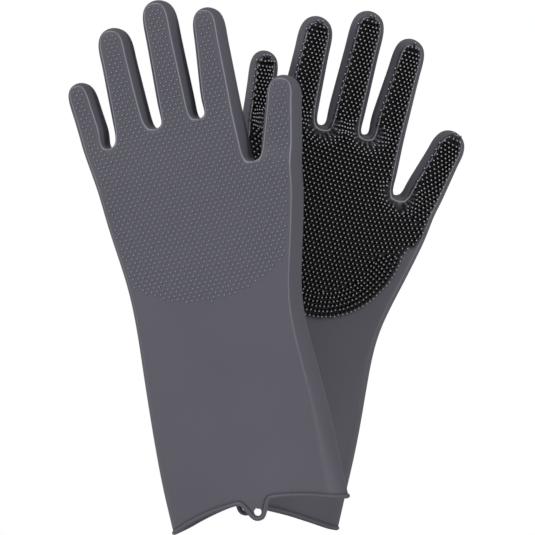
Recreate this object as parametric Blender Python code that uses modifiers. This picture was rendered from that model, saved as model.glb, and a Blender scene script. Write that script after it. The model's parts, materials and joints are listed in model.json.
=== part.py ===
"""A pair of silicone grooming gloves, left and right, held up as they are worn.

Each glove is drawn once, in its own frame: x runs across the hand towards the thumb,
z runs from the cuff's hem to the fingertips, and the palm faces -y. The right glove
is that shape, and the left glove is its mirror image through y. Lengths are in
millimetres until a mesh is made, and in metres from there on.
"""

import math

import bmesh
import bpy
from mathutils import Matrix, Vector

# ---- Driving dimensions, in millimetres and degrees ----
WALL = 1.8  # thickness of the moulded skin
GAP = 0.3  # clearance between touching pieces
BRISTLE = 4.6  # length of the washing bristles on the palm side

PALM_ARCH = 8.0  # how far the hem rises from its corners to its middle, in front
BACK_ARCH = 12.5  # and at the back of the hand
HEM_FULLNESS = 2.3  # 2 arches the hem as a parabola, and more makes it fuller
HEM_HALF = 61.0  # half the hem's width
BEAD_R = 1.6  # radius of the rolled bead round the hem
WRIST_Z = 128.0  # where the smooth cuff meets the textured hand

TAB_X = 3.3
TAB_WIDTH = 13.5
TAB_BOTTOM = -3.2
TAB_THICK = 3.0
TAB_HOLE_Z = 2.9
TAB_HOLE_R = 2.9

# The body of the glove: height, left edge, right edge, half thickness, squareness.
CUFF_SECTIONS = [
    (0.0, -60.5, 61.0, 22.5, 2.2),
    (22.0, -60.7, 60.4, 21.4, 2.2),
    (55.0, -60.3, 59.8, 19.8, 2.3),
    (92.0, -59.2, 57.2, 18.0, 2.4),
    (WRIST_Z, -57.5, 54.6, 16.5, 2.6),
]
HAND_SECTIONS = [
    (WRIST_Z, -57.5, 54.6, 16.5, 2.6),
    (146.0, -57.2, 56.8, 15.6, 2.8),
    (162.0, -57.8, 60.6, 15.0, 3.0),
    (180.0, -60.0, 65.0, 14.4, 3.2),
    (196.0, -62.4, 68.0, 14.0, 3.3),
    (206.0, -63.4, 67.5, 13.6, 3.4),
    (215.0, -64.4, 61.0, 13.2, 3.5),
    (223.0, -65.2, 50.0, 12.8, 3.5),
    (229.0, -66.0, 41.5, 12.5, 3.5),
    (242.0, -67.5, 38.5, 11.6, 3.5),
    (250.0, -63.0, 36.0, 10.4, 3.3),
    (256.0, -51.0, 31.0, 8.8, 3.0),
    (260.5, -24.0, 18.0, 6.0, 2.6),
]
CROWN_Z = 245.0  # above this the body closes between the fingers

# Each digit: tip x and z, lean, width at the knuckle and near the tip, length from the
# knuckle hinge to the tip, and length from the middle hinge to the tip.
DIGITS = {
    "little": (-65.4, 300.0, -7.0, 20.0, 18.6, 39.0, 19.5),
    "ring": (-36.0, 331.0, -1.7, 25.6, 22.4, 63.0, 31.0),
    "middle": (-2.7, 343.0, -0.2, 25.0, 22.4, 74.0, 37.0),
    "index": (29.5, 332.0, 2.3, 25.6, 20.6, 63.0, 31.0),
    "thumb": (73.0, 279.0, 14.0, 27.0, 22.0, 49.0, 24.0),
}
DIGIT_HALF_THICK = 10.5
DIGIT_SQUARENESS = 4.0
DIGIT_ROOT_DEPTH = 40.0  # how far each digit runs down inside the hand
STUB_RISE = 10.0  # how far it is drawn past the knuckle before the notch is cut
BRISTLE_SIDE_INSET = 3.2  # bare margin on each side of a digit's bristles

# A digit bends where the skin folds: the back opens and the palm side closes a notch.
BEND_MAX = 50.0
NOTCH_HALF_ANGLE = BEND_MAX / 2 + 0.5
NOTCH_REACH = 18.0  # notch depth from the hinge axis, past the bristle tips
NOTCH_SIDE = 1.5  # how far a notch runs past each side of its digit

# The palm's bristle field: an arc below, then straight runs up to the knuckles.
FIELD_CENTRE = (2.0, 196.0)
FIELD_RADIUS = 59.5
FIELD_NARROW = 0.89  # the arc is an ellipse, this much narrower than it is deep
FIELD_ARC = (204.0, 336.0)
FIELD_TOP = [
    (58.0, 200.0), (54.0, 209.0), (42.0, 219.0), (34.0, 231.0), (31.0, 246.0),
    (-54.0, 246.0), (-57.0, 238.0), (-54.5, 200.0),
]

# Where each glove is held: hem centre, yaw about its own length, then lean.
PLACES = {
    "right": ((0.0, 0.0, 0.0), 9.6, 14.2),
    "left": ((7.3, -100.0, 0.0), -15.0, -10.9),
}

SILICONE = (0.098, 0.098, 0.117, 1.0)
BRISTLE_GREY = (0.075, 0.075, 0.09, 1.0)

MM = 0.001
BODY_POINTS = 20
DIGIT_POINTS = 12


# ---- Outlines and sections ----
def superellipse(half_width, half_thick, squareness, count):
    """Points round a rounded box, counter-clockwise seen from +z."""
    power = 2.0 / squareness
    points = []
    for i in range(count):
        angle = math.tau * i / count
        c, s = math.cos(angle), math.sin(angle)
        x = math.copysign(abs(c) ** power, c) * half_width
        y = math.copysign(abs(s) ** power, s) * half_thick
        points.append((x, y))
    return points


def hem_height(x, y):
    """The hem arches up between its two corners, and more so at the back."""
    arch = BACK_ARCH if y > 0.0 else PALM_ARCH
    return arch * max(0.0, 1.0 - abs(x / HEM_HALF) ** HEM_FULLNESS)


def body_ring(section, grow=0.0):
    z, left, right, half_thick, squareness = section
    middle = (left + right) / 2
    half_width = (right - left) / 2 + grow
    if z > CROWN_Z:
        z += grow
    ring = superellipse(half_width, half_thick + grow, squareness, BODY_POINTS)
    return [Vector((middle + x, y, z)) for x, y in ring]


def digit_half_width(digit, s):
    """Half width at a height s above the knuckle hinge."""
    _, _, _, knuckle_width, tip_width, length, _ = DIGITS[digit]
    share = min(1.0, max(-0.3, s / (length - tip_width / 2)))
    return (knuckle_width + (tip_width - knuckle_width) * share) / 2


def digit_ring(digit, s, grow=0.0, shrink=1.0):
    half_width = (digit_half_width(digit, s) + grow) * shrink
    half_thick = (DIGIT_HALF_THICK + grow) * shrink
    ring = superellipse(half_width, half_thick, DIGIT_SQUARENESS, DIGIT_POINTS)
    return [Vector((x, y, s)) for x, y in ring]


def tip_rings(digit, start, grow=0.0):
    """Rings from a straight stretch to a rounded end."""
    _, _, _, _, tip_width, length, _ = DIGITS[digit]
    radius = tip_width / 2
    rings = [digit_ring(digit, start, grow)]
    for angle in (0.0, 28.0, 52.0, 72.0):
        rise = math.sin(math.radians(angle)) * (radius + grow)
        shrink = math.cos(math.radians(angle)) ** 0.8
        rings.append(digit_ring(digit, length - radius, grow, shrink))
        for point in rings[-1]:
            point.z = length - radius + rise
    top = length + grow
    rings.append([Vector((p.x * 0.45, p.y * 0.45, top)) for p in rings[-1]])
    return rings


# ---- Mesh helpers ----
def loft_object(name, rings, close_start=True, close_end=True):
    """A skin over rings with the same number of points, in millimetres."""
    bm = bmesh.new()
    rows = [[bm.verts.new(p * MM) for p in ring] for ring in rings]
    count = len(rows[0])
    for low, high in zip(rows, rows[1:]):
        for i in range(count):
            j = (i + 1) % count
            bm.faces.new((low[i], low[j], high[j], high[i]))
    if close_start:
        bm.faces.new(tuple(reversed(rows[0])))
    if close_end:
        bm.faces.new(tuple(rows[-1]))
    mesh = bpy.data.meshes.new(name)
    bm.to_mesh(mesh)
    bm.free()
    return link_new(name, mesh)


def prism_object(name, outline, half_depth, axis):
    """An outline of (u, v) points drawn out both ways along x or y."""
    bm = bmesh.new()
    if axis == "x":
        points = [Vector((-half_depth, u, v)) for u, v in outline]
        way = Vector((2 * half_depth, 0, 0))
    else:
        points = [Vector((u, -half_depth, v)) for u, v in outline]
        way = Vector((0, 2 * half_depth, 0))
    face = bm.faces.new([bm.verts.new(p * MM) for p in points])
    pulled = bmesh.ops.extrude_face_region(bm, geom=[face])
    moved = [g for g in pulled["geom"] if isinstance(g, bmesh.types.BMVert)]
    bmesh.ops.translate(bm, verts=moved, vec=way * MM)
    bmesh.ops.recalc_face_normals(bm, faces=bm.faces)
    mesh = bpy.data.meshes.new(name)
    bm.to_mesh(mesh)
    bm.free()
    return link_new(name, mesh)


def link_new(name, data):
    made = bpy.data.objects.new(name, data)
    bpy.context.scene.collection.objects.link(made)
    return made


def apply_modifier(target, kind, **settings):
    modifier = target.modifiers.new(kind, kind)
    for key, value in settings.items():
        setattr(modifier, key, value)
    graph = bpy.context.evaluated_depsgraph_get()
    graph.update()
    mesh = bpy.data.meshes.new_from_object(target.evaluated_get(graph))
    target.modifiers.clear()
    target.data = mesh


def combine(target, tool, operation):
    """Boolean one object into another and throw the tool away."""
    apply_modifier(target, "BOOLEAN", object=tool, operation=operation, solver="EXACT")
    bpy.data.objects.remove(tool)
    return target


def digit_matrix(digit):
    """From a digit's frame, with its origin on the knuckle hinge, to the glove's."""
    tip_x, tip_z, lean, _, _, length, _ = DIGITS[digit]
    turn = Matrix.Rotation(math.radians(lean), 4, "Y")
    base = Vector((tip_x, 0.0, tip_z)) - turn @ Vector((0.0, 0.0, length))
    return Matrix.Translation(base * MM) @ turn


# ---- The glove's solids ----
def notch_floor(sign, offset):
    """The fold line of a notch, from the back through the hinge to the palm side."""
    drop = NOTCH_REACH * math.tan(math.radians(NOTCH_HALF_ANGLE))
    start = offset + sign * GAP / 2
    return [(NOTCH_REACH, start), (0.0, start), (-NOTCH_REACH, start + sign * drop)]


def hand_solid(grow, stub_rise, foot):
    """The palm and the roots of all five digits as one closed solid."""
    rings = [body_ring(section, grow) for section in HAND_SECTIONS]
    for point in rings[0]:
        point.z += foot
    solid = loft_object("hand", rings)
    for digit in DIGITS:
        ends = [digit_ring(digit, s, grow) for s in (-DIGIT_ROOT_DEPTH, stub_rise)]
        stub = loft_object("stub", ends)
        stub.data.transform(digit_matrix(digit))
        combine(solid, stub, "UNION")
    return solid


def cut_knuckles(solid):
    """Take away everything on the far side of each knuckle's notch."""
    for digit in DIGITS:
        half_width = DIGITS[digit][3] / 2 + NOTCH_SIDE
        outline = notch_floor(-1, 0.0)
        outline += [(-NOTCH_REACH, 60.0), (NOTCH_REACH, 60.0)]
        tool = prism_object("notch", outline, half_width, "x")
        tool.data.transform(digit_matrix(digit))
        combine(solid, tool, "DIFFERENCE")
    return solid


def hand_shell():
    shell = hand_solid(0.0, STUB_RISE, GAP / 2)
    combine(shell, hand_solid(-WALL, STUB_RISE + 4.0, -2.0), "DIFFERENCE")
    return cut_knuckles(shell)


def cuff_shell():
    rings = [body_ring(section) for section in CUFF_SECTIONS]
    for point in rings[0]:
        point.z = hem_height(point.x, point.y) + BEAD_R + GAP
    for point in rings[-1]:
        point.z -= GAP / 2
    shell = loft_object("cuff", rings, close_start=False, close_end=False)
    apply_modifier(shell, "SOLIDIFY", thickness=WALL * MM, offset=-1.0)
    return shell


def hem_bead():
    """A round bead along the hem, drawn as a closed curve and made a mesh."""
    _, left, right, half_thick, squareness = CUFF_SECTIONS[0]
    outline = superellipse(
        (right - left) / 2 - WALL / 2, half_thick - WALL / 2, squareness, 2 * BODY_POINTS
    )
    middle = (left + right) / 2
    curve = bpy.data.curves.new("bead", "CURVE")
    curve.dimensions = "3D"
    curve.bevel_depth = BEAD_R * MM
    curve.bevel_resolution = 1
    spline = curve.splines.new("POLY")
    spline.points.add(len(outline) - 1)
    spline.use_cyclic_u = True
    for point, (x, y) in zip(spline.points, outline):
        place = Vector((middle + x, y, hem_height(middle + x, y))) * MM
        point.co = (*place, 1.0)
    return mesh_from_curve(curve)


def hang_tab():
    """A flat round-ended plate with a hole, below the hem at the back of the hand."""
    radius = TAB_WIDTH / 2
    top = hem_height(abs(TAB_X) + radius, 1.0) - BEAD_R - GAP
    centre_z = TAB_BOTTOM + radius
    curve = bpy.data.curves.new("tab", "CURVE")
    curve.dimensions = "2D"
    curve.fill_mode = "BOTH"
    curve.extrude = TAB_THICK / 2 * MM
    steps = 12
    outline = [(-radius, top)]
    for i in range(steps + 1):
        angle = math.pi + math.pi * i / steps
        outline.append((radius * math.cos(angle), centre_z + radius * math.sin(angle)))
    outline.append((radius, top))
    hole = []
    for i in range(16):
        angle = math.tau * i / 16
        hole.append((TAB_HOLE_R * math.cos(angle), TAB_HOLE_Z + TAB_HOLE_R * math.sin(angle)))
    for points in (outline, hole):
        spline = curve.splines.new("POLY")
        spline.points.add(len(points) - 1)
        spline.use_cyclic_u = True
        for point, (x, z) in zip(spline.points, points):
            point.co = (x * MM, z * MM, 0.0, 1.0)
    tab = mesh_from_curve(curve)
    stand = Matrix.Rotation(math.radians(90.0), 4, "X")
    back = CUFF_SECTIONS[0][3] - WALL / 2
    tab.data.transform(Matrix.Translation((TAB_X * MM, back * MM, 0.0)) @ stand)
    return tab


def mesh_from_curve(curve):
    drawn = link_new(curve.name, curve)
    graph = bpy.context.evaluated_depsgraph_get()
    graph.update()
    mesh = bpy.data.meshes.new_from_object(drawn.evaluated_get(graph))
    bpy.data.objects.remove(drawn)
    bm = bmesh.new()
    bm.from_mesh(mesh)
    bmesh.ops.remove_doubles(bm, verts=bm.verts, dist=0.00001)
    bmesh.ops.recalc_face_normals(bm, faces=bm.faces)
    bm.to_mesh(mesh)
    bm.free()
    return link_new(curve.name, mesh)


def palm_field():
    """The outline of the palm's bristle field, in the glove's x and z."""
    start, end = FIELD_ARC
    steps = 10
    outline = []
    for i in range(steps + 1):
        angle = math.radians(start + (end - start) * i / steps)
        x = FIELD_CENTRE[0] + FIELD_NARROW * FIELD_RADIUS * math.cos(angle)
        z = FIELD_CENTRE[1] + FIELD_RADIUS * math.sin(angle)
        outline.append((x, z))
    return outline + FIELD_TOP


def palm_bristles():
    """The space that the palm's bristles fill, as one plain pad."""
    pad = hand_solid(BRISTLE + GAP, 0.0, 2.0)
    depth = 40.0
    field = prism_object("field", palm_field(), depth / 2, "y")
    field.data.transform(Matrix.Translation((0.0, -depth / 2 * MM, 0.0)))
    combine(pad, field, "INTERSECT")
    combine(pad, hand_solid(GAP, STUB_RISE, 0.0), "DIFFERENCE")
    return cut_knuckles(pad)


def digit_part(digit, segment, bristles):
    """One segment of a digit, as a hollow sleeve or as the pad of its bristles."""
    length, tip_length = DIGITS[digit][5:]
    hinge = length - tip_length
    drop = NOTCH_REACH * math.tan(math.radians(NOTCH_HALF_ANGLE))
    start = 0.0 if segment == "root" else hinge
    outline = notch_floor(1, start)
    if segment == "root":
        outline += reversed(notch_floor(-1, hinge))
    else:
        outline += [(-NOTCH_REACH, length + drop), (NOTCH_REACH, length + drop)]
    half_width = DIGITS[digit][3] / 2 + 8.0

    def rings(grow):
        if segment == "root":
            return [digit_ring(digit, s, grow) for s in (-2.0, hinge + 2.0)]
        return tip_rings(digit, hinge - 2.0, grow)

    if bristles:
        part = loft_object("pad", rings(BRISTLE + GAP))
        half_width = digit_half_width(digit, start) - BRISTLE_SIDE_INSET
        combine(part, loft_object("skin", rings(GAP)), "DIFFERENCE")
        outline = [(min(y, -1.0), s) for y, s in outline]
        outline = [p for i, p in enumerate(outline) if p != outline[i - 1]]
    else:
        part = loft_object("sleeve", rings(0.0), False, segment == "tip")
        apply_modifier(part, "SOLIDIFY", thickness=WALL * MM, offset=-1.0)
    combine(part, prism_object("region", outline, half_width, "x"), "INTERSECT")
    part.data.transform(Matrix.Translation((0.0, 0.0, -start * MM)))
    return part


# ---- Materials and placing ----
def material(name, colour, roughness):
    made = bpy.data.materials.new(name)
    made.use_nodes = True
    shader = made.node_tree.nodes["Principled BSDF"]
    shader.inputs["Base Color"].default_value = colour
    shader.inputs["Roughness"].default_value = roughness
    shader.inputs["Metallic"].default_value = 0.0
    return made


def mirrored(mesh):
    """The same piece for the other hand."""
    copy = mesh.copy()
    bm = bmesh.new()
    bm.from_mesh(copy)
    bmesh.ops.scale(bm, vec=(1.0, -1.0, 1.0), verts=bm.verts)
    bmesh.ops.reverse_faces(bm, faces=bm.faces)
    bm.to_mesh(copy)
    bm.free()
    return copy


def draw_pieces():
    """Every piece of a right glove, drawn once, and freed from its drawing object."""
    drawn = {
        "cuff": cuff_shell(),
        "hem_bead": hem_bead(),
        "hang_tab": hang_tab(),
        "hand_shell": hand_shell(),
        "palm_bristles": palm_bristles(),
    }
    for digit in DIGITS:
        for segment in ("root", "tip"):
            drawn[f"{digit}_{segment}_sleeve"] = digit_part(digit, segment, False)
            drawn[f"{digit}_{segment}_bristles"] = digit_part(digit, segment, True)
    meshes = {}
    for name, piece in drawn.items():
        meshes[name] = piece.data
        bpy.data.objects.remove(piece)
    return meshes


def place_glove(side, meshes, collection, finishes):
    location, yaw, lean = PLACES[side]
    held = bpy.data.objects.new(f"{side}_glove_frame", None)
    collection.objects.link(held)
    turn = Matrix.Rotation(math.radians(lean), 4, "Y")
    turn = turn @ Matrix.Rotation(math.radians(yaw), 4, "Z")
    held.matrix_basis = Matrix.Translation(Vector(location) * MM) @ turn

    def add(name, parent, matrix):
        mesh = meshes[name] if side == "right" else mirrored(meshes[name])
        mesh.name = f"{side}_{name}"
        piece = bpy.data.objects.new(f"{side}_{name}", mesh)
        collection.objects.link(piece)
        piece.parent = parent
        piece.matrix_basis = matrix
        finish = "bristle" if name.endswith("bristles") else "silicone"
        mesh.materials.clear()
        mesh.materials.append(finishes[finish])
        mesh.shade_smooth()
        mesh.set_sharp_from_angle(angle=math.radians(35.0))
        return piece

    for name in ("cuff", "hem_bead", "hang_tab", "hand_shell", "palm_bristles"):
        add(name, held, Matrix.Identity(4))
    for digit in DIGITS:
        length, tip_length = DIGITS[digit][5:]
        root = add(f"{digit}_root_sleeve", held, digit_matrix(digit))
        add(f"{digit}_root_bristles", root, Matrix.Identity(4))
        middle = Matrix.Translation((0.0, 0.0, (length - tip_length) * MM))
        tip = add(f"{digit}_tip_sleeve", root, middle)
        add(f"{digit}_tip_bristles", tip, Matrix.Identity(4))


def main():
    for old in list(bpy.data.objects):
        bpy.data.objects.remove(old)
    collection = bpy.data.collections.new("grooming_gloves")
    bpy.context.scene.collection.children.link(collection)
    finishes = {
        "silicone": material("silicone", SILICONE, 0.5),
        "bristle": material("bristle", BRISTLE_GREY, 0.55),
    }
    meshes = draw_pieces()
    place_glove("right", meshes, collection, finishes)
    place_glove("left", meshes, collection, finishes)


main()
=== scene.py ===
"""A pair of silicone grooming gloves: skins, washing bristles, grip dots, hems and tabs.

One right glove is modelled in its own frame (x to the thumb, z to the fingertips, palm
at -y, millimetres), then placed, and mirrored through y for the left hand.
"""

import json
import math

import bmesh
import bpy
from mathutils import Matrix, Vector, noise
from mathutils.bvhtree import BVHTree
from mathutils.kdtree import KDTree
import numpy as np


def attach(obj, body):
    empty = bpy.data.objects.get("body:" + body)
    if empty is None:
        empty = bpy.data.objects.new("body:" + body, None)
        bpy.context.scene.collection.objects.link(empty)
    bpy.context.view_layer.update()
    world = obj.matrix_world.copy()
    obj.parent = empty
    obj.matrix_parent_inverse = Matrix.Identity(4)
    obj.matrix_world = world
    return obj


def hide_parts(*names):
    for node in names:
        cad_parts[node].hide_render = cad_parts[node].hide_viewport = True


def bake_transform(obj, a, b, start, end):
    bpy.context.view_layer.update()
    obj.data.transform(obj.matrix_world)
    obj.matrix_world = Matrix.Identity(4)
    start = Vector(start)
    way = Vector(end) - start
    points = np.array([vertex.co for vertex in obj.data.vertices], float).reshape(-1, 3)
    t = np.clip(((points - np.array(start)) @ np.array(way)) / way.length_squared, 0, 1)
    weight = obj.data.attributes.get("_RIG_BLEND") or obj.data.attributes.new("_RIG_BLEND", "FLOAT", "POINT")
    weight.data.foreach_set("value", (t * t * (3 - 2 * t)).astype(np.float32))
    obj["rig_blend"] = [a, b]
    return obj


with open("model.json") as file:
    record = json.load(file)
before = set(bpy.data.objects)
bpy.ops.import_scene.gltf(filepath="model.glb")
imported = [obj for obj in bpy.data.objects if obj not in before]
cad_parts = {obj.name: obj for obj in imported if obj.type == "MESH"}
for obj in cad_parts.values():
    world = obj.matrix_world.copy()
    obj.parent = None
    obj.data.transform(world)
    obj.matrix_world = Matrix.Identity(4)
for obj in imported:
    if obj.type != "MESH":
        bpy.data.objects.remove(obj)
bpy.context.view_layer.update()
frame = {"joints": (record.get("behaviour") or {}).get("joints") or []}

MM = 0.001
DIGIT_ORDER = ("little", "ring", "middle", "index", "thumb")
# Tip x and z, lean in degrees, width at the knuckle and near the tip, length from the
# knuckle hinge to the tip, and length from the middle hinge to the tip.
DIGITS = {
    "little": (-65.4, 300.0, -7.0, 20.0, 18.6, 39.0, 19.5),
    "ring": (-36.0, 331.0, -1.7, 25.6, 22.4, 63.0, 31.0),
    "middle": (-2.7, 343.0, -0.2, 25.0, 22.4, 74.0, 37.0),
    "index": (29.5, 332.0, 2.3, 25.6, 20.6, 63.0, 31.0),
    "thumb": (73.0, 279.0, 14.0, 27.0, 22.0, 49.0, 24.0),
}
# Bottom of the gap between neighbouring digits, from little/ring to index/thumb.
CROTCHES = [(-50.0, 254.0), (-17.0, 261.0), (13.0, 262.0), (43.7, 228.0)]
CROTCH_HALF = 2.4  # half width of the gap's round bottom
CROTCH_RISE = 2.0  # from a gap's bottom up to the middle of its round
# Each glove's place in millimetres, then its turn about z and lean about y in degrees.
PLACES = {
    "right": ((0.0, 0.0, 0.0), 9.6, 14.2),
    "left": ((7.3, -100.0, 0.0), -15.0, -10.9),
}

# Height, left edge, right edge, half thickness, ridge inset, crown, ridge sharpness.
BODY = [
    (0.0, -59.3, 61.0, 22.3, 8.0, 0.42, 0.15),
    (12.0, -59.8, 60.7, 21.8, 7.6, 0.38, 0.2),
    (32.0, -60.6, 60.2, 20.8, 7.0, 0.32, 0.3),
    (58.0, -60.3, 59.7, 19.6, 6.4, 0.26, 0.4),
    (84.0, -59.5, 57.8, 18.4, 6.0, 0.2, 0.5),
    (106.0, -58.6, 55.8, 17.4, 5.6, 0.15, 0.55),
    (128.0, -57.5, 54.6, 16.4, 5.2, 0.11, 0.6),
    (146.0, -57.2, 56.8, 15.5, 4.9, 0.08, 0.65),
    (162.0, -57.8, 60.6, 14.9, 4.7, 0.07, 0.7),
    (180.0, -60.0, 65.0, 14.3, 4.5, 0.06, 0.72),
    (196.0, -62.4, 68.2, 13.9, 4.3, 0.05, 0.74),
    (210.0, -64.0, 70.6, 13.4, 4.2, 0.05, 0.75),
]
CROWN_POWER = 2.5
FORK_Z = 226.0  # the row where the thumb parts from the palm
FORK_RISE_FROM = 180.0  # the height from which the rows bend to meet the fork
FORK_SLOPE = 1.4
FORK_LEFT, FORK_RIGHT = (-65.4, FORK_Z), (72.0, 221.0)
FORK_INSET = 4.2
THUMB_GAP_SIDE = 41.4
KNUCKLE_LEFT, KNUCKLE_RIGHT = (-70.4, 257.0), (39.9, 262.5)
FINGER_COLUMNS = 12  # three deck columns to each of the four fingers
# The deck beside a gap, and the outer deck points of the outermost digits.
DECK_DROP = 3.2
DECK_SIDE = CROTCH_HALF + 3.8
LITTLE_DECK, INDEX_DECK, THUMB_DECK = (-66.3, 255.5), (35.6, 261.0), (67.6, 220.0)
FORK_HALF_THICK = 12.8
ROOT_HALF_THICK = 11.0
DIGIT_HALF_THICK = 10.4
DIGIT_CROWN = 0.35
DIGIT_START = 1.5
DIGIT_END_SWELL = 1.054
DIGIT_END_DIP = 0.4
DIGIT_SIDE_OUT = 2.0
RIDGE_INSET = 4.0
RIDGE_SHARP = 0.88
SUBDIVISIONS = 3
ROUND = 1.108  # a control polygon of 45 degree steps stands this far out of its arc
BACK_RISE = 0.24  # how far the back's deck leans up past the palm's, per mm of height
BACK_RISE_SPAN = (150.0, 225.0)
WALL = 1.5
SMOOTH_ANGLE = 38.0
RIDGE_FADE = (15.0, 45.0)  # heights between which the ridges' painted highlight sets in
HEM_ARCH = 12.5
HEM_TILT = 2.2  # how much higher the hem ends on the thumb side, and lower on the other
HEM_DRAPE = 8.5  # how much lower the right glove's palm side hangs
BACK_DRAPE = 3.0  # how much lower its back hangs
BACK_SWING = 4.5  # how far its back swings away from the thumb
MOUTH_PINCH = 1.4  # how far its mouth draws in on the little finger's side
HEM_FULLNESS = 2.3
HEM_HALF = 61.0
MOUTH_HEIGHT = 45.0
PINCH_SPAN = (-35.0, -58.0)

# The hem's bead and the hang tab at the back of the hand.
BEAD_RADIUS = 1.4
BEAD_INSET = 0.15
BEAD_STEP = 1.4
BEAD_SMOOTHINGS = 3
TAB_X = 3.3
TAB_DROP = 12.6
TAB_ROWS = 14
TAB_REACH = 17.0
TAB_LEFT, TAB_RIGHT = (-9.5, 0.5), (4.5, 11.0)  # where its two sides run down and up
TAB_HOLE = (5.2, 4.6)
TAB_HOLE_R = 2.7

# Washing bristles: spacing along and between rows on the palm and on the digits.
BRISTLE_PITCH = 3.05
BRISTLE_ROW = 2.7
DIGIT_ROW = 2.45
ROW_OFFSET = 0.5
BRISTLE_PROFILE = [(0.92, -0.3), (0.74, 2.6), (0.58, 4.5), (0.38, 4.9), (0.0, 5.0)]
BRISTLE_SIDES = 8
BRISTLE_FACING = 0.93
BRISTLE_MARGINS = (0.2, -1.0)
FIELD_CENTRE = (2.0, 196.0)
FIELD_RADIUS = 57.5
FIELD_NARROW = 0.89
FIELD_SPREAD = 0.6
FIELD_SIDE_Z = 188.0
FIELD_RINGS = 6
FIELD_COLUMNS = 30
FIELD_START_DROP = 10.0
FIELD_TOP_Z = 262.0
FIELD_SHADE = (1.6, 4.2)
FIELD_SWEEP = 200.0
ROW_BOW = 0.0022  # how much the palm's rows curve up at their ends
# Bristles near a gap between two digits lean away from it and are painted lighter, as if they caught more
# light.
STAR_REACH = 15.0
STAR_LEAN = 1.3
STAR_CLEAR = 6.6
STAR_TOP = 5.0
STAR_LIGHT = 2.0
SPOT_WOBBLE = 0.38
SIZE_WOBBLE = 0.05
WOBBLE_SCALE = 3.7
WOBBLE_SEED = 7
# A digit's bristles fan out to its tip and to the little finger's side; fanned bristles are painted lighter.
FAN_TIP = 0.75
FAN_SIDE = 0.6
FAN_TIP_SPAN = (11.0, 4.0)  # distance from the tip over which the bristles start to fan
FAN_SIDE_SPAN = (0.0, 12.0)
FAN_LIGHT = 0.5
# Bristles near the palm field's lower edge lean out over it and are painted lighter.
EDGE_LEAN = 0.45
EDGE_DEPTH = 9.0
EDGE_LIGHT = 0.5
# Height above each knuckle from which a digit has rows of its own.
FINGER_ROWS_FROM = {"little": -12.0, "ring": -10.0, "middle": -9.0, "index": -12.0, "thumb": -16.0}

# Grip dots on the back: spacing, shape, and the arc below which there are none.
DOT_PITCH = 3.7
DOT_ROW = 2.6
DOT_PROFILE = [(0.95, -0.15), (0.7, 0.45), (0.0, 0.75)]
DOT_SIDES = 8
DOT_CENTRE = (0.0, 224.0)
DOT_RADIUS = 80.0
DOT_COLUMNS = (-24, 28)
DOT_TOP_Z = 345.0
DOT_FACING = 0.965
DOT_MARGINS = (-1.5, 0.0, 1.5)
CLEAR_OF_SKIN = 60.0  # a distance from the middle plane that is outside every skin

# Stretch of skin that turns at a hinge, below and above it.
KNUCKLE_BELOW, KNUCKLE_ABOVE = 6.5, 9.0
MIDDLE_HALF = 8.5

# Linear colours; the painted shade in the crease beside the bead is darkest up to the first of its reaches.
SILICONE = (0.1, 0.098, 0.122)
# the lighter ridge colour is a painted highlight along the creased lines
RIDGE_HIGHLIGHT = (0.3, 0.3, 0.34)
# near-black painted shade on the skin between the bristles
FIELD_PAINTED_SHADE = (0.0015, 0.0015, 0.002)
# the bristles are the glove's grey silicone: their near-black colour is painted shade, the tip colour a
# painted highlight, and the open tone painted light
BRISTLE_ROOT_SHADE = (0.0022, 0.0022, 0.003)
BRISTLE_TIP_HIGHLIGHT = (0.5, 0.5, 0.54)
OPEN_LIT_TONE = (0.1, 0.1, 0.112)
# the grip dots' light tops are a painted highlight
DOT_TOP_HIGHLIGHT = (0.23, 0.235, 0.285)
# painted shade for the crease beside the bead and round the grip dots' feet
CREASE_SHADE = (0.045, 0.045, 0.054)
CREASE_REACH = (1.9, 2.8)
PAPER_TONE = (0.82, 0.82, 0.82)

# Mottle, roughness and bump of each silicone finish, its shine, and its grain.
SILICONE_FINISH, SILICONE_SHINE = (0.16, 0.5, 0.25), 0.35
BRISTLE_FINISH, BRISTLE_SHINE = (0.2, 0.8, 0.15), 0.1
MOTTLE_SCALE = 22.0
GRAIN_SCALE = 2600.0
GRAIN_DEPTH = 0.0001

# Studio, in metres: camera, floor, and each light's name, place, size and power.
CAMERA_DISTANCE = 4.25
CAMERA_X = 0.0122
CAMERA_Z = 0.1626
VIEW_WIDTH = 0.3567
FLOOR_CENTRE = (0.0, -0.05, -0.07)
FLOOR_RADIUS = 0.8
AIM = (0.01, -0.05, 0.16)
WORLD_GLOW = 0.36
LIGHTS = [
    ("key_light", (-1.1, -1.8, 1.7), (0.7, 0.7), 26.0),
    ("right_strip", (1.35, -1.3, 0.5), (0.08, 1.5), 11.0),
    ("left_strip", (-1.7, -0.5, 0.4), (0.08, 1.4), 6.0),
]

REGIONS = ["hand"] + [f"{d}_{seg}" for d in DIGIT_ORDER for seg in ("root", "tip")]


def lerp(a, b, t):
    return a + (b - a) * t


def smoothstep(low, high, value):
    t = min(1.0, max(0.0, (value - low) / (high - low)))
    return t * t * (3 - 2 * t)


def hem_height(x, arch):
    return arch * max(0.0, 1.0 - abs(x / HEM_HALF) ** HEM_FULLNESS)


def mouth_share(z):
    """How far the shape of the cuff's mouth carries up into the cuff."""
    return 1.0 - smoothstep(0.0, MOUTH_HEIGHT, z)


def hem_lift(x, z):
    """Rise of the cuff near its hem, the same for back and palm."""
    return (hem_height(x, HEM_ARCH) + HEM_TILT * x / HEM_HALF) * mouth_share(z)


def digit_point(digit, across, along):
    """A point in the glove's x and z, from a digit's own across and along."""
    tip_x, tip_z, lean = DIGITS[digit][:3]
    length = DIGITS[digit][5]
    angle = math.radians(lean)
    s = along - length
    x = tip_x + across * math.cos(angle) + s * math.sin(angle)
    z = tip_z - across * math.sin(angle) + s * math.cos(angle)
    return x, z


def digit_half_width(digit, along):
    wide, narrow, length = DIGITS[digit][3:6]
    share = min(1.0, max(0.0, along / (length - narrow / 2)))
    return lerp(wide, narrow, share) / 2


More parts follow.
